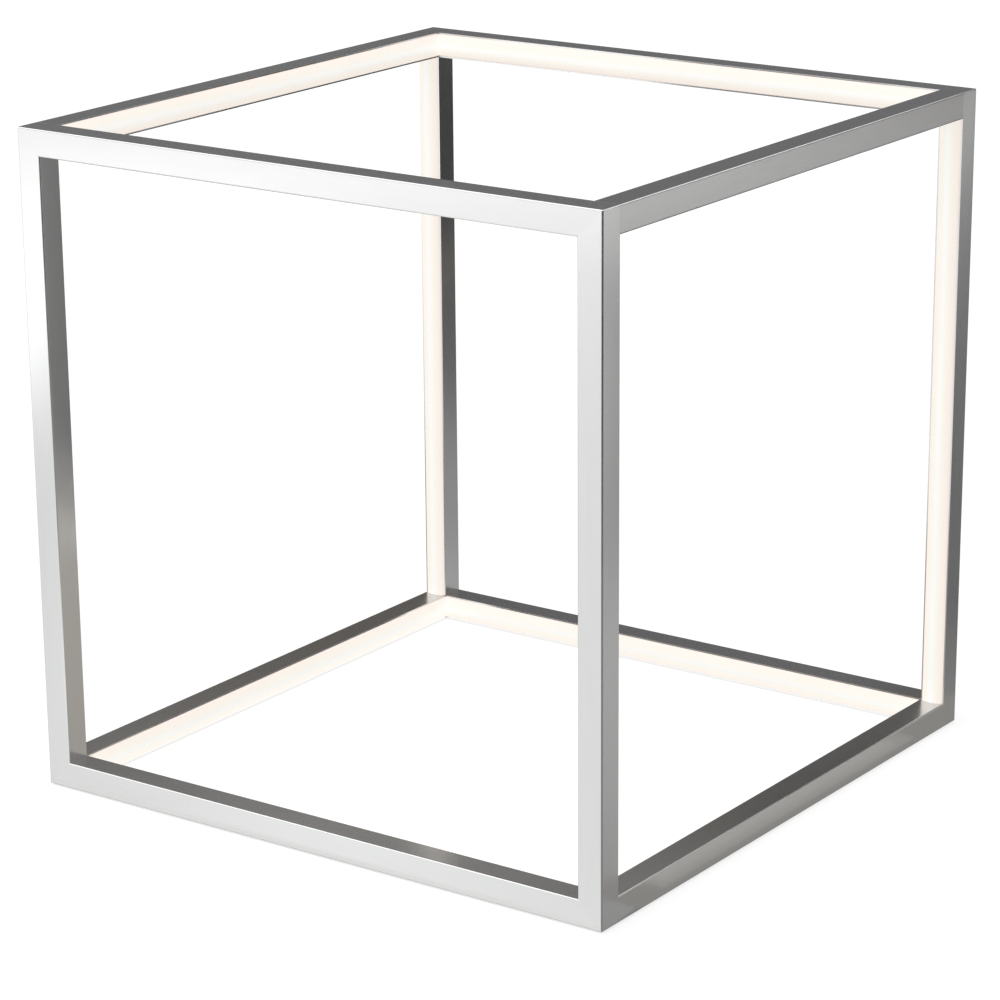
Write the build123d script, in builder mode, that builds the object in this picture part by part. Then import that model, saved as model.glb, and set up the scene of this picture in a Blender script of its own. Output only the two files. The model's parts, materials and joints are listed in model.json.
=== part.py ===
from build123d import *
import os

os.makedirs("parts", exist_ok=True)

# The table is an open cube of twelve square lighting channels, all in millimetres.
# X runs to the right, Y to the back and Z up, and the floor is Z = 0 under the middle of the table.
# The front and the back are mitred square frames whose channels open towards each other.
# Four rails along Y join them, and open towards the middle of the table.

# Overall size of the metal frame
width = 500.0
depth = 500.0
frame_height = 500.0

# Channel section, seen from its end: the web is the outer face, the two flanges end in the lips
profile = 20.0
web = 1.5
flange = 1.2
edge_radius = 1.2
lip_chamfer = 0.25
tip_flat = 0.8

# Ledges on the flanges, which make the slot for the corner blocks
slot_depth = 7.5
ledge_thickness = 1.0
ledge_reach = 1.2

# Snap ribs under the lips, which hold the diffusers
rib_drop = 3.2
rib_thickness = 0.8
rib_reach = 0.6

# Opal diffuser
diffuser_rise = 4.0
diffuser_side = 1.2
diffuser_wall = 1.3
shoulder_radius = 1.8
leg_thickness = 1.1
leg_length = 3.2
barb_reach = 0.45
barb_height = 1.2
barb_lead = 0.8

# Light-emitting tape
tape_width = 8.0
tape_thickness = 0.5
led_length = 3.5
led_width = 2.8
led_height = 0.8
led_pitch = 33.3

# Corner blocks with two prongs in each of the three channels that meet
prong_length = 27.6
prong_lead = 0.6
wire_groove = 8.0
block_edge = 0.5

# Grub screws, one in each arm that holds a side rail
screw_radius = 1.5
screw_length = 5.0
screw_socket = 1.5
screw_socket_depth = 1.6
screw_from_corner = 33.0

# Bush for the supply cord, at the bottom of the back left post
bush_bore = 4.8
bush_nose = 7.0
bush_shoulder = 9.2
bush_shoulder_thickness = 1.2
bush_length = 10.0
bush_mouth_chamfer = 0.6
bush_from_back = 7.0

# Foot pads
pad_diameter = 8.0
pad_height = 1.2

# Clearances
slide_gap = 0.2
snap_gap = 0.15
end_gap = 0.1
tape_end_gap = 0.5
screw_gap = 0.05
bush_gap = 0.05

# Places worked out from the sizes
half_width = width / 2
half_depth = depth / 2
base = pad_height
middle = base + frame_height / 2
inner_half_width = half_width - profile
inner_half_depth = half_depth - profile
inner_half_height = frame_height / 2 - profile
centre_line = profile / 2
cavity = profile - 2 * flange
corner = Vector(-half_width, -half_depth, base)

# Planes of symmetry of the frame
mirror_right = Plane.YZ
mirror_back = Plane.XZ
mirror_top = Plane.XY.offset(middle)

# Cross planes at the middle of the three master channels, with local Y towards the open side
post_plane = Plane(
    origin=(-half_width + centre_line, -half_depth, middle),
    x_dir=(1, 0, 0),
    z_dir=(0, 0, 1),
)
front_rail_plane = Plane(
    origin=(0, -half_depth, base + centre_line),
    x_dir=(0, 0, -1),
    z_dir=(1, 0, 0),
)
side_rail_plane = Plane(
    origin=(-half_width, 0, base + centre_line),
    x_dir=(0, 0, 1),
    z_dir=(0, 1, 0),
)


def channel_section(plane):
    """The square channel: web, flanges, ledges and snap ribs."""
    ledge_middle = web + slot_depth + ledge_thickness / 2
    rib_middle = profile - rib_drop - rib_thickness / 2
    with BuildSketch(plane) as section:
        with Locations((0, centre_line)):
            Rectangle(profile, profile)
        fillet(section.vertices().group_by(Axis.Y)[0], edge_radius)
        with Locations((0, web)):
            Rectangle(cavity, profile, align=(Align.CENTER, Align.MIN), mode=Mode.SUBTRACT)
        chamfer(section.vertices().group_by(Axis.Y)[-1], lip_chamfer)
        with Locations((-cavity / 2, ledge_middle)):
            Rectangle(ledge_reach, ledge_thickness, align=(Align.MIN, Align.CENTER))
        with Locations((cavity / 2, ledge_middle)):
            Rectangle(ledge_reach, ledge_thickness, align=(Align.MAX, Align.CENTER))
        with Locations((-cavity / 2, rib_middle)):
            Rectangle(rib_reach, rib_thickness, align=(Align.MIN, Align.CENTER))
        with Locations((cavity / 2, rib_middle)):
            Rectangle(rib_reach, rib_thickness, align=(Align.MAX, Align.CENTER))
    return section


def diffuser_section(plane):
    """The domed opal cover, with two legs that snap under the ribs."""
    shoulder = cavity / 2 - snap_gap
    seat = profile - rib_drop + snap_gap
    crown = profile + diffuser_rise
    spring = profile + diffuser_side
    leg_outside = cavity / 2 - rib_reach - snap_gap
    leg_end = seat - leg_length
    barb_top = profile - rib_drop - rib_thickness - snap_gap
    inside = shoulder - diffuser_wall
    with BuildSketch(plane) as section:
        with BuildLine():
            Polyline((shoulder, spring), (shoulder, seat), (-shoulder, seat), (-shoulder, spring))
            ThreePointArc((-shoulder, spring), (0, crown), (shoulder, spring))
        make_face()
        fillet(section.vertices().group_by(Axis.Y)[-1], shoulder_radius)
        with BuildLine():
            Polyline((inside, spring), (inside, leg_end), (-inside, leg_end), (-inside, spring))
            ThreePointArc((-inside, spring), (0, crown - diffuser_wall), (inside, spring))
        make_face(mode=Mode.SUBTRACT)
        for side in (-1, 1):
            with BuildLine():
                Polyline(
                    (side * leg_outside, seat + diffuser_wall),
                    (side * leg_outside, barb_top),
                    (side * (leg_outside + barb_reach), barb_top),
                    (side * (leg_outside + barb_reach), barb_top - barb_height + barb_lead),
                    (side * leg_outside, barb_top - barb_height),
                    (side * leg_outside, leg_end),
                    (side * (leg_outside - leg_thickness), leg_end),
                    (side * (leg_outside - leg_thickness), seat + diffuser_wall),
                    close=True,
                )
            make_face()
    return section


def tape_plane(cross_plane):
    """Plane on the inside of a channel's web, with local X along the channel."""
    return Plane(
        origin=cross_plane.origin + cross_plane.y_dir * web,
        x_dir=cross_plane.z_dir,
        z_dir=cross_plane.y_dir,
    )


def finish(piece, name):
    """Label a finished piece and write its file."""
    piece.part.label = name
    export_step(piece.part, f"parts/{name}.step")


def moved(master, to_right=False, to_back=False, to_top=False):
    """A copy of a master piece, mirrored to another place in the frame."""
    with BuildPart() as piece:
        add(master.part)
        if to_right:
            mirror(about=mirror_right, mode=Mode.REPLACE)
        if to_back:
            mirror(about=mirror_back, mode=Mode.REPLACE)
        if to_top:
            mirror(about=mirror_top, mode=Mode.REPLACE)
    return piece


# Mitre planes at the two left corners of the front square, facing the post
mitre_low = Plane(origin=corner, z_dir=(-1, 0, 1))
mitre_high = Plane(origin=corner + Vector(0, 0, frame_height), z_dir=(-1, 0, -1))
mitre_right = Plane(origin=corner + Vector(width, 0, 0), z_dir=(1, 0, 1))

# Planes of the small flats that take the sharp tips off the mitres
tip_low = Plane(origin=corner + Vector(tip_flat, 0, 0), z_dir=(1, 0, 1))
tip_high = Plane(origin=corner + Vector(tip_flat, 0, frame_height), z_dir=(1, 0, -1))
tip_right = Plane(origin=corner + Vector(width - tip_flat, 0, 0), z_dir=(-1, 0, 1))

# Front left post, mitred at both ends
with BuildPart() as post:
    extrude(channel_section(post_plane).sketch, amount=frame_height / 2, both=True)
    for plane in (mitre_low, mitre_high, tip_low, tip_high):
        split(bisect_by=plane, keep=Keep.TOP)

# Front bottom rail, mitred at both ends
with BuildPart() as front_rail:
    extrude(channel_section(front_rail_plane).sketch, amount=half_width, both=True)
    for plane in (mitre_low, mitre_right):
        split(bisect_by=plane, keep=Keep.BOTTOM)
    for plane in (tip_low, tip_right):
        split(bisect_by=plane, keep=Keep.TOP)

# Left bottom rail, cut square, between the two mitred squares
with BuildPart() as side_rail:
    extrude(channel_section(side_rail_plane).sketch, amount=inner_half_depth, both=True)

# Diffuser of a post, which stands between the side rails
with BuildPart() as post_diffuser:
    extrude(diffuser_section(post_plane).sketch, amount=inner_half_height - end_gap, both=True)

# Diffusers of the rails, whose domes meet in a mitre at the inner corners
dome_corner = corner + Vector(profile, profile, 0)
with BuildPart() as front_diffuser:
    extrude(diffuser_section(front_rail_plane).sketch, amount=inner_half_width - end_gap, both=True)
    split(bisect_by=Plane(origin=dome_corner + Vector(end_gap, 0, 0), z_dir=(1, -1, 0)), keep=Keep.TOP)
    split(
        bisect_by=Plane(
            origin=dome_corner + Vector(2 * inner_half_width - end_gap, 0, 0),
            z_dir=(-1, -1, 0),
        ),
        keep=Keep.TOP,
    )
with BuildPart() as side_diffuser:
    extrude(diffuser_section(side_rail_plane).sketch, amount=inner_half_depth - end_gap, both=True)
    split(bisect_by=Plane(origin=dome_corner + Vector(0, end_gap, 0), z_dir=(-1, 1, 0)), keep=Keep.TOP)
    split(
        bisect_by=Plane(
            origin=dome_corner + Vector(0, 2 * inner_half_depth - end_gap, 0),
            z_dir=(-1, -1, 0),
        ),
        keep=Keep.TOP,
    )


def light_tape(cross_plane, inner_half_length):
    """A tape along a channel's web, with its row of light-emitting diodes."""
    tape_length = 2 * (inner_half_length - tape_end_gap)
    led_count = int(tape_length // led_pitch)
    floor = tape_plane(cross_plane)
    with BuildPart() as tape:
        with BuildSketch(floor):
            Rectangle(tape_length, tape_width)
        extrude(amount=tape_thickness)
        with BuildSketch(floor.offset(tape_thickness)):
            with GridLocations(led_pitch, 0, led_count, 1):
                Rectangle(led_length, led_width)
        extrude(amount=led_height)
    return tape


post_tape = light_tape(post_plane, inner_half_height)
front_tape = light_tape(front_rail_plane, inner_half_width)
side_tape = light_tape(side_rail_plane, inner_half_depth)

# Sizes of the corner block, measured inwards from the outer corner of the frame
prong_outside = flange + slide_gap
prong_inside = centre_line - wire_groove / 2 - slide_gap
prong_width = prong_inside - prong_outside
prong_low = web + slide_gap
prong_high = web + slot_depth - slide_gap
body_low = flange + ledge_reach + slide_gap
body_high = profile - body_low
block_low = web + slide_gap
block_high = profile - flange
arm_end = body_high + prong_length
prong_middle = (prong_low + prong_high) / 2
prong_height = prong_high - prong_low
prong_spread = 2 * (centre_line - prong_outside) - prong_width
groove_high = block_low + wire_groove
body_width = body_high - body_low

# Cross planes of the three arms at the front left bottom corner, seen along the arms
arm_x = Plane(origin=corner + Vector(0, prong_middle, centre_line), x_dir=(0, 0, -1), z_dir=(1, 0, 0))
arm_z = Plane(origin=corner + Vector(centre_line, prong_middle, 0), x_dir=(1, 0, 0), z_dir=(0, 0, 1))
arm_y = Plane(origin=corner + Vector(prong_middle, 0, centre_line), x_dir=(0, 0, 1), z_dir=(0, 1, 0))

# The screw goes through the prong nearer to the middle of the table, from the rail's open side
screw_plane = Plane(
    origin=corner + Vector(0, screw_from_corner, centre_line + prong_spread / 2),
    x_dir=(0, 1, 0),
    z_dir=(1, 0, 0),
)

# Corner block: a hollowed body with two prongs for each channel
with BuildPart() as block:
    with BuildSketch(Plane(origin=corner + Vector(0, block_low, 0), x_dir=(1, 0, 0), z_dir=(0, 1, 0))):
        with Locations((centre_line, -centre_line)):
            Rectangle(body_width, body_width)
    extrude(amount=block_high - block_low)
    chamfer(block.edges().filter_by(Axis.Y), block_edge)
    for arm in (arm_x, arm_z):
        with BuildSketch(arm.offset(body_high - block_edge)):
            with GridLocations(prong_spread, 0, 2, 1):
                Rectangle(prong_width, prong_height)
        extrude(amount=prong_length + block_edge)
        with BuildSketch(arm.offset(centre_line - wire_groove / 2)):
            with Locations((0, (groove_high + block_low) / 2 - prong_middle)):
                Rectangle(wire_groove, groove_high - block_low)
        extrude(amount=body_high, mode=Mode.SUBTRACT)
    with BuildSketch(arm_y.offset(block_high - block_edge)):
        with GridLocations(prong_spread, 0, 2, 1):
            Rectangle(prong_width, prong_height)
    extrude(amount=arm_end - block_high + block_edge)
    with BuildSketch(arm_y.offset(centre_line - wire_groove / 2)):
        with Locations((0, (groove_high + block_low) / 2 - prong_middle)):
            Rectangle(wire_groove, groove_high - block_low)
    extrude(amount=block_high, mode=Mode.SUBTRACT)
    for axis in (Axis.X, Axis.Y, Axis.Z):
        tips = block.faces().filter_by(axis).sort_by(axis)[-2:]
        chamfer(tips.edges(), prong_lead)
    with Locations(screw_plane.offset(prong_high)):
        Hole(radius=screw_radius + screw_gap, depth=prong_height)

# Grub screw of the front left bottom block, then mirrored to all the corners
with BuildPart() as grub_screws:
    with BuildSketch(screw_plane.offset(web)):
        Circle(screw_radius)
    extrude(amount=screw_length)
    with BuildSketch(screw_plane.offset(web + screw_length - screw_socket_depth)):
        RegularPolygon(screw_socket / 2, 6, major_radius=False)
    extrude(amount=screw_socket_depth, mode=Mode.SUBTRACT)
    mirror(about=mirror_right)
    mirror(about=mirror_back)
    mirror(about=mirror_top)

# The supply cord comes in through the left face of the back left post
bush_axis = Plane(
    origin=(-half_width, half_depth - bush_from_back, base + centre_line),
    x_dir=(0, 1, 0),
    z_dir=(1, 0, 0),
)
with BuildPart() as cord_bush:
    with BuildSketch(bush_axis):
        Circle(bush_nose / 2)
    extrude(amount=bush_length)
    with BuildSketch(bush_axis.offset(flange)):
        Circle(bush_shoulder / 2)
    extrude(amount=bush_shoulder_thickness)
    with Locations(bush_axis):
        Hole(radius=bush_bore / 2, depth=bush_length)
    mouth = cord_bush.edges().filter_by(GeomType.CIRCLE).group_by(Axis.X)[0].sort_by(SortBy.RADIUS)[0]
    chamfer(mouth, bush_mouth_chamfer)

# One foot pad, under the front left corner
with BuildPart() as pad:
    with BuildSketch():
        with Locations((-half_width + centre_line, -half_depth + centre_line)):
            Circle(pad_diameter / 2)
    extrude(amount=pad_height)

# Posts, their diffusers, tapes and foot pads
for back, depth_name in ((False, "front"), (True, "back")):
    for right, side_name in ((False, "left"), (True, "right")):
        place = f"{depth_name}_{side_name}"
        with BuildPart() as placed_post:
            add(moved(post, to_right=right, to_back=back).part)
            if back and not right:
                with Locations(bush_axis.offset(flange + ledge_reach)):
                    CounterBoreHole(
                        radius=bush_nose / 2 + bush_gap,
                        counter_bore_radius=bush_shoulder / 2 + slide_gap,
                        counter_bore_depth=ledge_reach,
                        depth=flange + ledge_reach,
                    )
        finish(placed_post, f"post_{place}")
        finish(moved(post_diffuser, to_right=right, to_back=back), f"diffuser_post_{place}")
        finish(moved(post_tape, to_right=right, to_back=back), f"led_tape_post_{place}")
        finish(moved(pad, to_right=right, to_back=back), f"foot_pad_{place}")

# Rails, their diffusers and tapes
for top, level_name in ((False, "bottom"), (True, "top")):
    for back, depth_name in ((False, "front"), (True, "back")):
        place = f"{depth_name}_{level_name}"
        finish(moved(front_rail, to_back=back, to_top=top), f"rail_{place}")
        finish(moved(front_diffuser, to_back=back, to_top=top), f"diffuser_rail_{place}")
        finish(moved(front_tape, to_back=back, to_top=top), f"led_tape_rail_{place}")
    for right, side_name in ((False, "left"), (True, "right")):
        place = f"{side_name}_{level_name}"
        finish(moved(side_rail, to_right=right, to_top=top), f"rail_{place}")
        finish(moved(side_diffuser, to_right=right, to_top=top), f"diffuser_rail_{place}")
        finish(moved(side_tape, to_right=right, to_top=top), f"led_tape_rail_{place}")

# Corner blocks, of which the back left bottom one is bored for the cord bush
for top, level_name in ((False, "bottom"), (True, "top")):
    for back, depth_name in ((False, "front"), (True, "back")):
        for right, side_name in ((False, "left"), (True, "right")):
            with BuildPart() as placed_block:
                add(moved(block, to_right=right, to_back=back, to_top=top).part)
                if back and not right and not top:
                    with Locations(bush_axis.offset(body_high)):
                        Hole(radius=bush_nose / 2 + slide_gap, depth=body_high)
            finish(placed_block, f"corner_block_{depth_name}_{side_name}_{level_name}")

finish(grub_screws, "grub_screws")
finish(cord_bush, "cord_bush")
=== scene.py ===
# %% [markdown]
# # A cube of light: a side table made of twelve glowing channels
#
# The table is an open cube. Each of its twelve edges is a square metal channel, closed
# on the outside and open towards the inside, where a domed opal diffuser glows warm
# white. The CAD model already holds every piece at its true size, so this lesson
# dresses it: channels with softly rounded, mitred and brushed metal, diffusers with a
# smooth dome, and finishes for the small parts that work out of sight.
#
# The frame comes first. Everything below is in metres, in the frame's own axes.

import json
import math

import bmesh
import bpy
from mathutils import Matrix, Vector

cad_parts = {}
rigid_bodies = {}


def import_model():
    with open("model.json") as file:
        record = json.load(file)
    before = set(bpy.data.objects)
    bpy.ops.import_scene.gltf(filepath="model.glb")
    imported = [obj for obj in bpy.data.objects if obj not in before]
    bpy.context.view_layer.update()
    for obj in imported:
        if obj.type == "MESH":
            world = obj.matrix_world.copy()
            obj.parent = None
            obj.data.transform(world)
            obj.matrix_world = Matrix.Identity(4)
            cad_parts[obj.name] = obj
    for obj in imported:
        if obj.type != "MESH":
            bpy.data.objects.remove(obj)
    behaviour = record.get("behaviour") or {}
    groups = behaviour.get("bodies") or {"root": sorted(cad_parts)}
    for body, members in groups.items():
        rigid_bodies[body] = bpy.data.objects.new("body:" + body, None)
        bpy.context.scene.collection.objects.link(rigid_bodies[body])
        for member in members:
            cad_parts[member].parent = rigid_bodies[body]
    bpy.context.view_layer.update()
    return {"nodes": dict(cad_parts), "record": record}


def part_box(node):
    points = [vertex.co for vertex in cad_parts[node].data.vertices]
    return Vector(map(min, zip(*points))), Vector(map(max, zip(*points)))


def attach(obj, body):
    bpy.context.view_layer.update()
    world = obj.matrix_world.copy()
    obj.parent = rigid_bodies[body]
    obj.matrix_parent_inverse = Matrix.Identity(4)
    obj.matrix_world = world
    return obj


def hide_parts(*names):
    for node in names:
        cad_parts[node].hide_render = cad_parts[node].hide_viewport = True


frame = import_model()
scene = bpy.context.scene
X, Y, Z = Vector((1, 0, 0)), Vector((0, 1, 0)), Vector((0, 0, 1))
print("nodes in the frame:", len(frame["nodes"]))

# %% [markdown]
# ## Sizes
#
# The few sizes that the frame's boxes can't give are written here once: the wall
# thicknesses of the channel and the shape of the diffuser's dome.

# %% Name the sizes of the two sections
MM = 0.001
side = 20.0 * MM
web = 1.5 * MM
flange = 1.2 * MM
edge_round = 1.2 * MM
tip_flat = 0.8 * MM
hairline = 0.12 * MM

dome_half = 8.65 * MM
dome_spring = 21.2 * MM
dome_crown = 24.0 * MM
dome_seat = 16.95 * MM
dome_shoulder = 1.8 * MM
dome_wall = 1.3 * MM
dome_steps = 18
shoulder_steps = 6

dome_rise = dome_crown - dome_spring
dome_radius = (dome_half ** 2 + dome_rise ** 2) / (2 * dome_rise)
print("radius of the dome in mm:", round(dome_radius / MM, 2))

# %% [markdown]
# ## One local frame for every bar
#
# A bar of the cube can lie along X, Y or Z, but it is always the same bar. So each one
# is modelled lying along its own local Z, with local X across it and local Y going in
# from its closed outer face to its open side. One matrix then takes it to its place.
# The outer corner of a mitred square lies on the side of +X, which makes that the long
# side of the mitre.

# %% A bar's place, from the box of its CAD node
def bar_place(node, along, opens, outwards):
    low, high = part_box(node)
    centre = (low + high) / 2
    thickness = abs((high - low).dot(opens))
    origin = centre - opens * (thickness / 2)
    across = outwards
    if across.cross(opens).dot(along) < 0:
        along = -along
    turn = Matrix((across, opens, along)).transposed().to_4x4()
    return Matrix.Translation(origin) @ turn, abs((high - low).dot(along))


place, length = bar_place("post_front_left", Z, Y, -X)
print("length of a post in mm:", round(length / MM, 1))

# %% [markdown]
# ## From a bmesh to a finished piece
#
# Three things are the same for all new pieces. The mesh is moved to its place before the
# object is made, so the object itself stays at the origin. Faces are shaded smooth, with
# sharp edges where they meet at more than 35 degrees. And a Weighted Normal modifier
# lets the large flat faces decide the shading, so a rounded edge doesn't smear its
# gradient over the flat metal beside it.

# %% Turn a bmesh into a piece that rides on the frame
sharp_angle = 35


def finish_piece(bm, name, place, material, stands_for):
    bmesh.ops.recalc_face_normals(bm, faces=bm.faces[:])
    bm.transform(place)
    mesh = bpy.data.meshes.new(name)
    bm.to_mesh(mesh)
    bm.free()
    mesh.materials.append(material)
    mesh.shade_smooth()
    mesh.set_sharp_from_angle(angle=math.radians(sharp_angle))
    piece = bpy.data.objects.new(name, mesh)
    scene.collection.objects.link(piece)
    weighted = piece.modifiers.new("weighted_normals", "WEIGHTED_NORMAL")
    weighted.keep_sharp = True
    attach(piece, "root")
    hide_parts(stands_for)
    return piece


print("edges are sharp from, in degrees:", sharp_angle)

# %% [markdown]
# ## A map that follows the bar
#
# Brushing runs along each bar, and a pattern on it has to run the same way. So every new
# mesh gets a UV map: U is the distance along the bar and V the distance across it and
# down its sides, both in metres. Each bar starts at another place of the pattern, so no
# two look alike.

# %% Write the map in the bar's local frame
bar_map = "along_the_bar"
shift_along = 0.37
shift_across = 0.11


def map_bar(bm, bar_number):
    layer = bm.loops.layers.uv.new(bar_map)
    for face in bm.faces:
        for loop in face.loops:
            co = loop.vert.co
            u = co.z + shift_along * bar_number
            v = co.x + co.y + shift_across * bar_number
            loop[layer].uv = (u, v)


print("shift of the pattern from one bar to the next in m:", shift_along, shift_across)

# %% [markdown]
# ## Brushed metal
#
# Brushed nickel is a metal with very many fine parallel scratches. Each scratch is a tiny
# groove, so light spreads across the scratches and hardly along them. In the shader that
# is three things. The Principled BSDF is fully metallic and anisotropic, and its tangent
# follows the bar. A noise stretched a hundredfold along U gives the streaks in colour and
# roughness, and a finer one gives the scratches their height. And a slow, large noise
# makes the tone wander a little along a bar, as hand finishing does.

# %% Small helpers for building node materials
def new_material(name):
    material = bpy.data.materials.new(name)
    material.use_nodes = True
    nodes = material.node_tree.nodes
    nodes.clear()
    output = nodes.new("ShaderNodeOutputMaterial")
    return material, nodes, material.node_tree.links, output


def mapped(nodes, links, source, scale):
    mapping = nodes.new("ShaderNodeMapping")
    mapping.inputs["Scale"].default_value = scale
    links.new(source, mapping.inputs["Vector"])
    return mapping.outputs["Vector"]


def noise(nodes, links, vector, scale, detail, roughness=0.5):
    texture = nodes.new("ShaderNodeTexNoise")
    texture.inputs["Scale"].default_value = scale
    texture.inputs["Detail"].default_value = detail
    texture.inputs["Roughness"].default_value = roughness
    links.new(vector, texture.inputs["Vector"])
    return texture.outputs["Fac"]


def ranged(nodes, links, value, low, high, to_low, to_high):
    span = nodes.new("ShaderNodeMapRange")
    span.inputs["From Min"].default_value = low
    span.inputs["From Max"].default_value = high
    span.inputs["To Min"].default_value = to_low
    span.inputs["To Max"].default_value = to_high
    links.new(value, span.inputs["Value"])
    return span.outputs["Result"]


def ramp(nodes, links, value, stops):
    colours = nodes.new("ShaderNodeValToRGB")
    elements = colours.color_ramp.elements
    elements.remove(elements[1])
    elements[0].position = stops[0][0]
    elements[0].color = (*stops[0][1], 1.0)
    for position, colour in stops[1:]:
        elements.new(position).color = (*colour, 1.0)
    links.new(value, colours.inputs["Fac"])
    return colours.outputs["Color"]


def math_node(nodes, links, operation, *values):
    node = nodes.new("ShaderNodeMath")
    node.operation = operation
    for socket, value in zip(node.inputs, values):
        if isinstance(value, (int, float)):
            socket.default_value = value
        else:
            links.new(value, socket)
    return node.outputs["Value"]


def principled(nodes, links, output):
    shader = nodes.new("ShaderNodeBsdfPrincipled")
    links.new(shader.outputs["BSDF"], output.inputs["Surface"])
    return shader


def add_bump(nodes, links, shader, height, strength, distance):
    bump = nodes.new("ShaderNodeBump")
    bump.inputs["Strength"].default_value = strength
    bump.inputs["Distance"].default_value = distance
    links.new(height, bump.inputs["Height"])
    links.new(bump.outputs["Normal"], shader.inputs["Normal"])


print("helpers for materials are ready")

# %% Brushed nickel for the channels
streak_scale = (22, 2600, 1)
thread_scale = (60, 9000, 1)
cloud_scale = (9, 60, 1)
cloud_share = 0.8


def make_brushed_nickel():
    material, nodes, links, output = new_material("brushed_nickel")
    shader = principled(nodes, links, output)
    shader.inputs["Metallic"].default_value = 1.0
    shader.inputs["Anisotropic"].default_value = 0.45
    shader.inputs["Anisotropic Rotation"].default_value = 0.25

    tangent = nodes.new("ShaderNodeTangent")
    tangent.direction_type = "UV_MAP"
    tangent.uv_map = bar_map
    links.new(tangent.outputs["Tangent"], shader.inputs["Tangent"])

    uv = nodes.new("ShaderNodeUVMap")
    uv.uv_map = bar_map
    on_bar = uv.outputs["UV"]
    streaks = noise(nodes, links, mapped(nodes, links, on_bar, streak_scale), 1.0, 3, 0.6)
    threads = noise(nodes, links, mapped(nodes, links, on_bar, thread_scale), 1.0, 2)
    clouds = noise(nodes, links, mapped(nodes, links, on_bar, cloud_scale), 1.0, 2)

    mixed = math_node(nodes, links, "MULTIPLY_ADD", clouds, cloud_share, streaks)
    tone = ramp(nodes, links, mixed, [
        (0.45, (0.632, 0.629, 0.622)),
        (0.95, (0.666, 0.664, 0.658)),
    ])
    links.new(tone, shader.inputs["Base Color"])
    links.new(ranged(nodes, links, streaks, 0.3, 0.7, 0.19, 0.25), shader.inputs["Roughness"])
    add_bump(nodes, links, shader, threads, strength=0.08, distance=0.02 * MM)
    return material


brushed_nickel = make_brushed_nickel()
print("material made:", brushed_nickel.name)

# %% [markdown]
# ## Opal diffuser
#
# The diffuser is a milky plastic with a row of diodes behind it. Its light is even and
# warm: brightest over the diodes and a touch pinker towards the sides, where it leaves
# through more plastic. So the glow is emission whose colour goes with the distance from
# the middle line, which each diffuser's mesh will hold as an attribute. The plastic keeps
# its own cream body colour and a soft gloss, for the moments when the light is off.

# %% Opal plastic that glows from inside
middle_distance = "across"


def make_opal():
    material, nodes, links, output = new_material("glowing_opal")
    shader = principled(nodes, links, output)
    shader.inputs["Roughness"].default_value = 0.45
    shader.inputs["Emission Strength"].default_value = 0.74

    position = nodes.new("ShaderNodeTexCoord").outputs["Object"]
    milk = noise(nodes, links, position, 40, 3)
    body = ramp(nodes, links, milk, [
        (0.30, (0.39, 0.38, 0.36)),
        (0.70, (0.41, 0.40, 0.38)),
    ])
    links.new(body, shader.inputs["Base Color"])

    from_middle = nodes.new("ShaderNodeAttribute")
    from_middle.attribute_name = middle_distance
    glow = ramp(nodes, links, from_middle.outputs["Fac"], [
        (0.00, (0.992, 0.985, 0.965)),
        (0.15, (0.990, 0.975, 0.935)),
        (0.30, (0.987, 0.950, 0.872)),
        (0.45, (0.985, 0.928, 0.840)),
        (0.75, (0.982, 0.895, 0.810)),
        (1.00, (0.972, 0.850, 0.785)),
    ])
    links.new(glow, shader.inputs["Emission Color"])
    return material


glowing_opal = make_opal()
print("material made:", glowing_opal.name)

# %% [markdown]
# ## The channel
#
# The real channel is an extrusion, and it is made like one here. Eight points give the
# U-shaped section, and `bevel` rounds its corners while it is still flat. The two outer
# corners get the radius that catches the light along every edge of the table. The lips
# get a hairline, because no real edge is perfectly sharp. Then the section is extruded to
# the length of the bar.

# %% Draw the section, round its corners and extrude it
near = 0.1 * MM
edge_steps = 5
lip_steps = 2


def round_corners(bm, level, radius, steps):
    corners = [v for v in bm.verts if abs(v.co.y - level) < near]
    bmesh.ops.bevel(bm, geom=corners, offset=radius, offset_type="OFFSET", segments=steps,
                    profile=0.5, affect="VERTICES", material=-1)


def extruded_channel(length):
    half = side / 2
    inside = half - flange
    section = [(-half, 0), (half, 0), (half, side), (inside, side)]
    section += [(inside, web), (-inside, web), (-inside, side), (-half, side)]
    bm = bmesh.new()
    bm.faces.new([bm.verts.new((x, y, -length / 2)) for x, y in section])
    round_corners(bm, 0, edge_round, edge_steps)
    round_corners(bm, side, hairline, lip_steps)
    grown = bmesh.ops.extrude_face_region(bm, geom=bm.faces[:])
    far = [g for g in grown["geom"] if isinstance(g, bmesh.types.BMVert)]
    bmesh.ops.translate(bm, verts=far, vec=(0, 0, length))
    return bm


trial = extruded_channel(length)
print("faces of an extruded channel:", len(trial.faces))
trial.free()

# %% [markdown]
# A mitre is a plain saw cut, so `bisect_plane` is the right tool for it, once for each end.
# Three small cuts then round its sharp tip, 15 degrees apart, with the same radius as the
# outer corners. The cuts leave open ends, and `holes_fill` closes them. The mitres are
# closed and ground flush, so only the brushing changes its direction there.

# %% Saw the mitres and round their tips
both_ends = (-1, 1)
tip_turns = (15, 30, 45)


def saw(bm, point, towards_waste):
    everything = bm.verts[:] + bm.edges[:] + bm.faces[:]
    bmesh.ops.bisect_plane(bm, geom=everything, plane_co=point, plane_no=towards_waste,
                           clear_outer=True)
    open_edges = [e for e in bm.edges if e.is_boundary]
    bmesh.ops.holes_fill(bm, edges=open_edges, sides=0)


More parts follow.
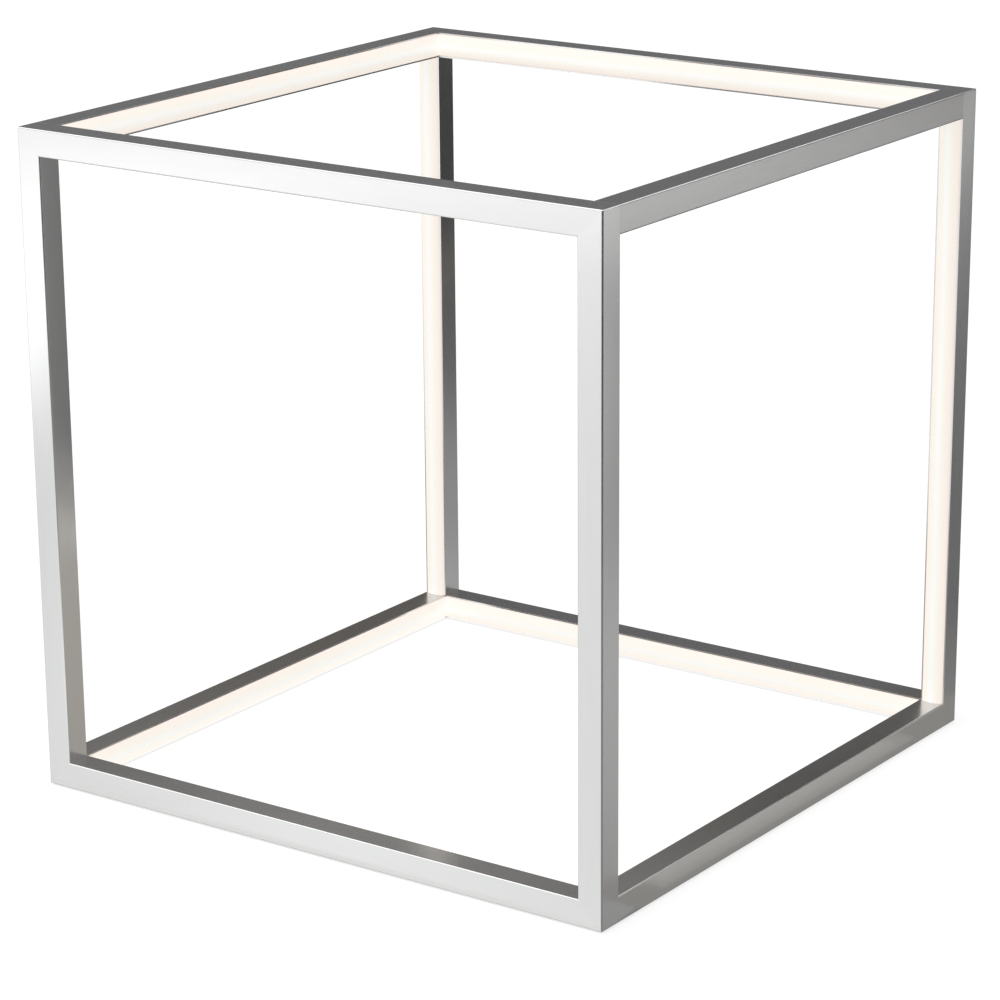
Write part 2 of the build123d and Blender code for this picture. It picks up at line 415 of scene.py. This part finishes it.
def saw_mitres(bm, length):
    half = side / 2
    for way in both_ends:
        saw(bm, Vector((half, 0, way * length / 2)), Vector((-1, 0, way)))
        middle = Vector((half - edge_round, 0, way * (length / 2 - edge_round)))
        for turn in tip_turns:
            angle = math.radians(turn)
            outwards = Vector((math.cos(angle), 0, way * math.sin(angle)))
            saw(bm, middle + outwards * edge_round, outwards)


trial = extruded_channel(length)
saw_mitres(trial, length)
print("faces of a sawn channel:", len(trial.faces))
print("open edges:", sum(e.is_boundary for e in trial.edges))
trial.free()

# %% [markdown]
# ## The twelve bars
#
# The front square and the back square are made of four mitred bars each: two posts and
# two rails. Four side rails, cut square, join them. One list holds where each bar lies,
# which way it opens and which way is out, and serves the channels and the diffusers.

# %% List the bars
front_and_back = (("front", Y), ("back", -Y))
left_and_right = (("left", -X), ("right", X))
bottom_and_top = (("bottom", -Z), ("top", Z))

bars = []
for depth_name, opens in front_and_back:
    for side_name, outwards in left_and_right:
        bars.append((f"post_{depth_name}_{side_name}", Z, opens, outwards, "post"))
    for level_name, outwards in bottom_and_top:
        bars.append((f"rail_{depth_name}_{level_name}", X, opens, outwards, "rail"))
for side_name, outwards in left_and_right:
    for level_name, upwards in bottom_and_top:
        bars.append((f"rail_{side_name}_{level_name}", Y, -outwards, upwards, "side rail"))
print("bars listed:", len(bars))

# %% [markdown]
# The CAD takes a small flat off each mitre tip, so the box of a mitred bar is shorter than
# the bar by that much.

# %% Build the twelve channels
def make_channel(node, along, opens, outwards, mitred, bar_number):
    place, length = bar_place(node, along, opens, outwards)
    if mitred:
        length += tip_flat
    bm = extruded_channel(length)
    if mitred:
        saw_mitres(bm, length)
    map_bar(bm, bar_number)
    return finish_piece(bm, "metal_" + node, place, brushed_nickel, node)


for bar_number, (name, along, opens, outwards, kind) in enumerate(bars):
    make_channel(name, along, opens, outwards, kind != "side rail", bar_number)
print("channels made:", len(bars))

# %% [markdown]
# ## The diffuser
#
# Seen from its end, a diffuser is a flat arch between two straight sides. The arch is a
# part of a circle, so it is made by turning one point round the circle's centre with
# `spin`. The two ends are drawn down to the seat, the line is extruded along the bar, and
# a bevel rounds the shoulders. `solidify` then gives the sheet its wall.

# %% Draw the arch and make it a shell
def arch_shell(length):
    bm = bmesh.new()
    start = bm.verts.new((dome_half, dome_spring, -length / 2))
    centre = Vector((0, dome_crown - dome_radius, -length / 2))
    half_angle = math.asin(dome_half / dome_radius)
    bmesh.ops.spin(bm, geom=[start], cent=centre, axis=Z, dvec=(0, 0, 0),
                   angle=2 * half_angle, steps=dome_steps)
    ends = [v for v in bm.verts if len(v.link_edges) == 1]
    feet = bmesh.ops.extrude_vert_indiv(bm, verts=ends)["verts"]
    bmesh.ops.translate(bm, verts=feet, vec=(0, dome_seat - dome_spring, 0))
    sheet = bmesh.ops.extrude_edge_only(bm, edges=bm.edges[:])["geom"]
    far = [g for g in sheet if isinstance(g, bmesh.types.BMVert)]
    bmesh.ops.translate(bm, verts=far, vec=(0, 0, length))
    return bm


def is_shoulder(edge):
    start, end = (v.co for v in edge.verts)
    lies_along = abs((start - end).z) > near
    return lies_along and abs(abs(start.x) - dome_half) < near and abs(start.y - dome_spring) < near


def round_shoulders(bm):
    shoulders = [e for e in bm.edges if is_shoulder(e)]
    bmesh.ops.bevel(bm, geom=shoulders, offset=dome_shoulder, offset_type="OFFSET",
                    segments=shoulder_steps, profile=0.5, affect="EDGES", material=-1)


def thicken(bm):
    bmesh.ops.recalc_face_normals(bm, faces=bm.faces[:])
    crown = max(bm.faces, key=lambda f: f.calc_center_median().y)
    if crown.normal.y < 0:
        bmesh.ops.reverse_faces(bm, faces=bm.faces[:])
    bmesh.ops.solidify(bm, geom=bm.faces[:], thickness=dome_wall)


trial = arch_shell(length)
round_shoulders(trial)
thicken(trial)
levels = [v.co.y / MM for v in trial.verts]
print("lowest and highest point of the shell in mm:", round(min(levels), 2), round(max(levels), 2))
trial.free()

# %% [markdown]
# Where two diffusers of a top or bottom square meet, their domes are mitred beyond the lips
# of the channels, as the CAD has them. A post's diffuser is cut square and stands between
# the side rails. The distance from the middle line is written to the attribute that the
# opal's glow reads. A diffuser's sizes count from the outer face of its channel, so it is
# lifted from its own box to there.

# %% Note the distance from the middle line and measure the lift
def note_middle_distance(bm):
    layer = bm.verts.layers.float.new(middle_distance)
    for vert in bm.verts:
        sideways = abs(vert.co.x) / dome_half
        sunk = max(0.0, dome_spring - vert.co.y) / (dome_spring - dome_seat)
        vert[layer] = min(1.0, max(sideways, sunk))


def outer_face(low, high, opens):
    return min(low.dot(opens), high.dot(opens))


def lift_to_channel(node, opens):
    low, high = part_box(node)
    channel_low, channel_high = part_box(node.replace("diffuser_", ""))
    return outer_face(channel_low, channel_high, opens) - outer_face(low, high, opens)


print("lift of a post's diffuser in mm:", round(lift_to_channel("diffuser_post_front_left", Y) / MM, 2))

# %% Cut the ends and build the twelve diffusers
def make_diffuser(node, along, opens, outwards, mitred, bar_number):
    place, length = bar_place(node, along, opens, outwards)
    place = Matrix.Translation(opens * lift_to_channel(node, opens)) @ place
    bm = arch_shell(length)
    round_shoulders(bm)
    thicken(bm)
    if mitred:
        for way in both_ends:
            saw(bm, Vector((0, side, way * length / 2)), Vector((0, 1, way)))
    note_middle_distance(bm)
    map_bar(bm, bar_number)
    piece_name = "opal_" + node.replace("diffuser_", "")
    return finish_piece(bm, piece_name, place, glowing_opal, node)


for bar_number, (name, along, opens, outwards, kind) in enumerate(bars):
    make_diffuser("diffuser_" + name, along, opens, outwards, kind != "post", bar_number)
print("diffusers made:", len(bars))

# %% [markdown]
# ## The parts out of sight
#
# Under the diffusers lie the tapes, the corner blocks and their screws, and the foot pads
# hide below the corners. Their CAD shapes are right, so they only need finishes: printed
# tape, sand-cast zinc, blackened steel, moulded plastic and rubber. One function makes
# them all, because each is a colour that varies a little, a roughness and a fine bump.

# %% Finishes for the small parts
roughness_span = 0.12


def make_plain(name, dark, light, grain, roughness, metallic=0.0):
    material, nodes, links, output = new_material(name)
    shader = principled(nodes, links, output)
    shader.inputs["Metallic"].default_value = metallic
    position = nodes.new("ShaderNodeTexCoord").outputs["Object"]
    specks = noise(nodes, links, position, grain, 4)
    colour = ramp(nodes, links, specks, [(0.35, dark), (0.65, light)])
    links.new(colour, shader.inputs["Base Color"])
    dullness = ranged(nodes, links, specks, 0.3, 0.7, roughness, roughness + roughness_span)
    links.new(dullness, shader.inputs["Roughness"])
    add_bump(nodes, links, shader, specks, strength=0.5, distance=0.03 * MM)
    return material


small_finishes = {
    "tape": make_plain("printed_tape", (0.74, 0.74, 0.70), (0.82, 0.82, 0.78), 900, 0.45),
    "block": make_plain("cast_zinc", (0.30, 0.30, 0.31), (0.42, 0.42, 0.43), 1400, 0.42, 1.0),
    "screw": make_plain("black_steel", (0.035, 0.035, 0.038), (0.07, 0.07, 0.075), 2500, 0.30, 1.0),
    "bush": make_plain("moulded_black", (0.022, 0.022, 0.023), (0.035, 0.035, 0.036), 2000, 0.40),
    "pad": make_plain("pad_rubber", (0.040, 0.040, 0.041), (0.065, 0.065, 0.067), 1600, 0.62),
}
print("small finishes:", ", ".join(small_finishes))

# %% Give every remaining CAD node its finish
dressed = 0
for part in frame["record"]["subparts"]:
    if part["material_slot"] in small_finishes:
        mesh = frame["nodes"][part["node"]].data
        mesh.materials.clear()
        mesh.materials.append(small_finishes[part["material_slot"]])
        dressed += 1
print("CAD nodes dressed:", dressed)

# %% [markdown]
# ## Floor, air and lamp
#
# The table stands on a white studio floor. The camera and shiny surfaces see the floor
# and the air above it as white, but the floor still takes the table's shadow, because
# only a part of its white is added for those rays. A large soft sun lights it evenly.

# %% White floor that keeps the shadow
floor_size = 60
floor_paint = 0.45
floor_glow = 0.72


def seen_directly(nodes, links):
    ray = nodes.new("ShaderNodeLightPath").outputs
    shiny = math_node(nodes, links, "ADD", ray["Is Glossy Ray"], ray["Is Transmission Ray"])
    total = math_node(nodes, links, "ADD", ray["Is Camera Ray"], shiny)
    return math_node(nodes, links, "MINIMUM", total, 1.0)


def make_floor():
    material, nodes, links, output = new_material("studio_floor")
    paint = nodes.new("ShaderNodeBsdfDiffuse")
    paint.inputs["Color"].default_value = (floor_paint, floor_paint, floor_paint, 1)
    glow = nodes.new("ShaderNodeEmission")
    strength = math_node(nodes, links, "MULTIPLY", seen_directly(nodes, links), floor_glow)
    links.new(strength, glow.inputs["Strength"])
    both = nodes.new("ShaderNodeAddShader")
    links.new(paint.outputs["BSDF"], both.inputs[0])
    links.new(glow.outputs["Emission"], both.inputs[1])
    links.new(both.outputs["Shader"], output.inputs["Surface"])
    bpy.ops.mesh.primitive_plane_add(size=floor_size, location=(0, 0, 0))
    floor = bpy.context.object
    floor.name = "floor"
    floor.data.materials.append(material)
    return floor


print("laid down:", make_floor().name)

# %% White air
air_light = 0.50
air_seen = 1.0

world = bpy.data.worlds.new("studio_air")
scene.world = world
world.use_nodes = True
nodes, links = world.node_tree.nodes, world.node_tree.links
background = nodes["Background"]
background.inputs["Color"].default_value = (1, 1, 1, 1)
level = ranged(nodes, links, seen_directly(nodes, links), 0.0, 1.0, air_light, air_seen)
links.new(level, background.inputs["Strength"])
print("strength of the air where it is seen:", air_seen, "and as a light:", air_light)

# %% A wide soft sun, which lights the whole floor alike
sun_direction = Vector((0.5, 0.7, -1.6))

sun = bpy.data.lights.new("soft_sun", "SUN")
sun.energy = 0.95
sun.angle = math.radians(70)
sun_thing = bpy.data.objects.new("soft_sun", sun)
scene.collection.objects.link(sun_thing)
sun_thing.rotation_euler = sun_direction.to_track_quat("-Z", "Y").to_euler()
print("lamp hung:", sun_thing.name)

# %% [markdown]
# ## Reflector cards
#
# Metal looks like what it mirrors, and from the camera each side of the table mirrors
# another part of the studio. So the studio gets reflector cards, as a photographer sets
# them up. They are hidden from the camera and cast no light or shadow, so only what is
# glossy shows them, and nearly all of that is the metal. Their tones are painted light
# and painted shade, and the metal shows them as painted reflections. They are placed for
# the photograph's angle. From other angles the metal mirrors them in other places.
#
# Each card is an outline with a tone that changes with the distance from one point, its
# pivot. A tone of 1 is as bright as the white floor. A colour ramp holds values up to 1,
# so the tones go through it halved and are doubled after it.

# %% A card and its finish
def card_finish(name, stops, tint):
    material, nodes, links, output = new_material(name)
    shine = nodes.new("ShaderNodeEmission")
    shine.inputs["Color"].default_value = (*tint, 1)
    away = nodes.new("ShaderNodeVectorMath")
    away.operation = "LENGTH"
    links.new(nodes.new("ShaderNodeTexCoord").outputs["Object"], away.inputs[0])
    reach = stops[-1][0]
    share = ranged(nodes, links, away.outputs["Value"], 0.0, reach, 0.0, 1.0)
    grey_stops = [(distance / reach, (tone / 2, tone / 2, tone / 2)) for distance, tone in stops]
    halved = ramp(nodes, links, share, grey_stops)
    links.new(math_node(nodes, links, "MULTIPLY", halved, 2.0), shine.inputs["Strength"])
    links.new(shine.outputs["Emission"], output.inputs["Surface"])
    return material


def make_card(name, outline, pivot, stops, tilt=(0, 0, 0), tint=(1, 1, 1)):
    mesh = bpy.data.meshes.new(name)
    mesh.from_pydata([(x, y, 0) for x, y in outline], [], [range(len(outline))])
    mesh.materials.append(card_finish(name, stops, tint))
    card = bpy.data.objects.new(name, mesh)
    scene.collection.objects.link(card)
    card.location = pivot
    card.rotation_euler = [math.radians(a) for a in tilt]
    card.visible_camera = False
    card.visible_diffuse = False
    card.visible_transmission = False
    card.visible_shadow = False


def rectangle(left, right, near, far):
    return [(left, near), (right, near), (right, far), (left, far)]


def disc(centre_x, centre_y, radius, steps=64):
    turns = [2 * math.pi * i / steps for i in range(steps)]
    return [(centre_x + radius * math.cos(t), centre_y + radius * math.sin(t)) for t in turns]


def even(tone):
    return [(0.0, tone), (1.0, tone)]


def count_cards():
    return len([thing for thing in bpy.data.objects if thing.name.startswith("card_")])


print("cards so far:", count_cards())

# %% [markdown]
# ### Cards that stand
#
# The top faces of the upper rails and of the back bottom rail mirror the air far behind
# the table, where a large dark card makes them charcoal. A white card beside it draws the
# bright line along the upper edge of the right side. Warm cards stand closer behind the
# table, where the top faces of the other three bottom rails mirror them and turn brown.
# A dark card near them shades the upper part of the inner face of the back left post, and
# a small one inside the cube does the same for the front left post.

# %% Stand the cards up
upright = (90, 0, 0)

# Painted reflection: this dark card turns the top faces charcoal.
make_card("card_dark_air", rectangle(-6, 3.4, 0, 8), (-2.26, 3.30, 0),
          [(0.0, 0.03), (0.75, 0.04), (0.95, 0.175), (1.25, 0.165), (1.5, 0.165),
           (1.75, 0.20), (2.2, 0.24), (10.0, 0.24)],
          tilt=(90, 0, 34.5), tint=(0.98, 0.98, 1.02))
# Painted reflections: warm cards that turn the top faces of three bottom rails brown.
make_card("card_warm_low",
          [(-1.25, 0.06), (-0.56, 0.06), (-0.48, 0.24), (-0.06, 0.24),
           (0.0, 0.18), (0.12, 0.16), (0.12, 0.41), (-1.25, 0.41)],
          (0, 0.6, 0), even(0.125), tilt=upright, tint=(1.08, 1.0, 0.92))
make_card("card_warm_high",
          [(-0.21, -0.05), (0.95, -0.05), (0.90, 0.06), (0.54, 0.06), (0.29, 0.14), (-0.21, 0.16)],
          (-1.04, 0.6, 0.46),
          [(0.0, 0.20), (0.25, 0.32), (0.4, 0.40), (0.55, 0.40), (0.72, 0.30), (1.2, 0.25)],
          tilt=upright, tint=(1.02, 1.0, 0.96))
make_card("card_warm_side", rectangle(-0.15, 1.9, 0.28, 1.15), (0, 1.45, 0), even(0.20),
          tilt=upright, tint=(1.05, 1.0, 0.94))
# Painted shade on the upper inner faces of the back left and the front left post.
make_card("card_dark_behind",
          [(0.0, 0.24), (0.15, 0.20), (0.36, 0.20), (0.36, 0.43), (-0.10, 0.43), (-0.10, 0.34)],
          (0, 0.55, 0), even(0.05), tilt=upright)
make_card("card_dark_inside", rectangle(-0.16, 0.06, 0.17, 0.46), (0, 0, 0), even(0.18), tilt=upright)
# Painted highlight along the upper edge of the right side.
make_card("card_rim_light", rectangle(-1.6, 1.6, 0.6, 4.0), (2.0, 5.0, 0), even(1.7), tilt=(90, 0, -10))
print("cards so far:", count_cards())

# %% [markdown]
# ### Cards that lie
#
# The upright faces mirror the floor, because the camera looks down on them. Cards on the
# floor paint what these faces mirror: painted light in front, brighter to the left, and
# painted shade to the right, with a paler beam across it. Each card lies a hair above the
# ones that it covers, and even the highest one is lower than the pads that the table
# stands on.

# %% Lay the floor in front and on the right
ground_height = 0.40 * MM
beam_height = 0.60 * MM
nearest_foot = (0.25, -0.25)

# Painted light on the floor in front and to the left, seen only in the metal.
make_card("card_bright_floor",
          [(-1.25, 1.24), (0.6, 1.24), (0.6, -3.5), (-3.6, -3.5),
           (-3.4, -0.5), (-2.95, -0.15), (-2.25, 0.5), (-1.62, 1.05)],
          (1.0, -1.5, ground_height),
          [(0.0, 1.12), (1.38, 1.08), (1.46, 1.11), (1.56, 1.22), (1.62, 1.20), (1.70, 1.11),
           (1.80, 1.06), (1.95, 0.94), (2.06, 1.14), (2.20, 2.0), (2.40, 2.0), (2.58, 1.76),
           (2.75, 1.55), (2.95, 1.60), (3.2, 1.35), (4.0, 1.0)],
          tint=(0.985, 1.0, 1.0))
# Painted shade on the floor to the right, with a paler beam across it.
make_card("card_grey_floor", rectangle(-1.25, 6, 0, 7), (*nearest_foot, ground_height),
          [(0.0, 0.30), (0.6, 0.25), (10.0, 0.25)])
make_card("card_grey_beam", [(0.0, 0.0), (2.6, 2.0), (4.0, 5.0), (0.6, 5.0)],
          (*nearest_foot, beam_height),
          [(0.0, 0.38), (0.25, 0.48), (0.6, 0.56), (0.95, 0.50), (1.36, 0.82), (2.0, 0.84),
           (2.4, 1.00), (2.7, 1.04), (3.0, 0.66), (3.5, 0.40), (10.0, 0.40)])
print("cards so far:", count_cards())

# %% [markdown]
# Behind the table lies a darker round pool of painted shade, which the post at the back
# right mirrors. A paler lane and a dark one, both of painted shade, cross it for the inner
# faces of the left posts. To the left of them a black card paints the floor in deep shade.

# %% Lay the floor behind the table
pool_height = 0.80 * MM
lane_height = 0.90 * MM

# Painted shade behind the table: a pool, two lanes across it and black beyond them.
make_card("card_dark_pool", disc(-0.9, 2.1, 2.24), (0, 0, pool_height),
          [(0.0, 0.40), (0.42, 0.28), (0.65, 0.18), (1.0, 0.22), (1.5, 0.24), (1.75, 0.25),
           (2.3, 0.24), (6.0, 0.12)])
make_card("card_dark_lane", [(0.55, 0.70), (1.14, 1.46), (1.36, 1.36), (0.64, 0.60)],
          (0, 0, lane_height), even(0.02))
make_card("card_pale_lane",
          [(-0.26, 0.27), (-0.10, 0.27), (0.16, 0.58), (0.42, 0.93), (0.72, 1.38),
           (0.55, 1.6), (0.2, 1.1), (-0.05, 0.72), (-0.2, 0.5)],
          (0, 0, lane_height),
          [(0.0, 0.50), (0.36, 0.48), (0.42, 0.42), (0.465, 0.38), (0.654, 0.36), (0.8, 0.25),
           (1.0, 0.12), (1.47, 0.06), (3.0, 0.06)])
make_card("card_black_back",
          [(-0.27, 0.27), (-0.35, 0.6), (-0.45, 3.0), (-3.5, 3.0), (-3.5, 0.9)],
          (0, 0, lane_height), even(0.03))
print("cards so far:", count_cards())

# %% [markdown]
# Inside the bottom square a warm card paints the floor in shade, lit warm by the
# diffusers. At the foot of the left and the back rail runs a narrow bright strip of painted
# light with a wider dark strip of painted shade beside it. Along the foot of the right side
# lies painted shade in three steps. And a black fan of painted shade opens from the foot of
# the post nearest the camera and draws the dark line down its edge, a painted reflection.

# %% Lay the floor under and beside the table
lit_height = 1.00 * MM
shade_height = 1.05 * MM
line_height = 1.10 * MM
inside = 0.23

# Painted shade inside the bottom square, lit warm by the diffusers.
make_card("card_lit_floor", rectangle(-0.24, 0.24, -0.24, 0.24), (0, 0, lit_height),
          [(0.0, 0.50), (0.36, 0.47)], tint=(1.0, 0.95, 0.88))
# Painted shade in three steps along the foot of the right side.
for start, front, back, tone, height in (
        (-0.01, -0.2, 0.30, 0.33, lit_height),
        (0.008, -0.16, 0.20, 0.42, shade_height),
        (0.016, -0.15, 0.18, 0.50, line_height)):
    make_card("card_right_shade", rectangle(start, 0.05, front, back), (nearest_foot[0], 0, height),
              even(tone), tint=(1.02, 1.0, 0.96))
# Painted shade: its reflection is the dark line down the nearest post's edge.
make_card("card_black_fan", [(0.0, 0.0), (-1.16, -5.06), (2.6, -4.5), (4.88, -1.78), (4.56, 2.52)],
          (*nearest_foot, pool_height),
          [(0.0, 0.30), (0.6, 0.26), (1.0, 0.16), (1.5, 0.05), (4.0, 0.02)])
# A strip of painted shade, and over it a narrower strip of painted light.
for reach, start, tone, height in (
        (0.045, -0.12, 0.08, shade_height),
        (0.014, -0.23, 1.5, line_height)):
    make_card("card_strip_left", rectangle(0, reach, start, inside), (-inside, 0, height), even(tone))
    make_card("card_strip_back", rectangle(-inside, inside, -reach, 0), (0, inside, height), even(tone))
print("cards in all:", count_cards())

# %% [markdown]
# ## The camera
#
# The camera stands to the right of the front and looks slightly down. Its place, turn and
# focal length come from the twelve edges of the cube in the photograph: for one place
# only, nearly all of them fall on their lines. The small shift puts the picture's centre
# where the photograph has it.

# %% Place the camera
lens = bpy.data.cameras.new("view")
lens.sensor_fit = "HORIZONTAL"
lens.sensor_width = 36.0
lens.lens = 131.02
lens.shift_x = -0.01898
lens.shift_y = 0.12173
lens.clip_end = 100.0
camera = bpy.data.objects.new("view", lens)
scene.collection.objects.link(camera)
camera.location = (1.51034, -2.14176, 1.00129)
camera.rotation_euler = [math.radians(a) for a in (71.1443, 0.3534, 34.9383)]
scene.camera = camera
scene.view_settings.view_transform = "Standard"
print("camera height in m:", round(camera.location.z, 3))

# %% [markdown]
# ## The end

# %% Finish
print("finished")
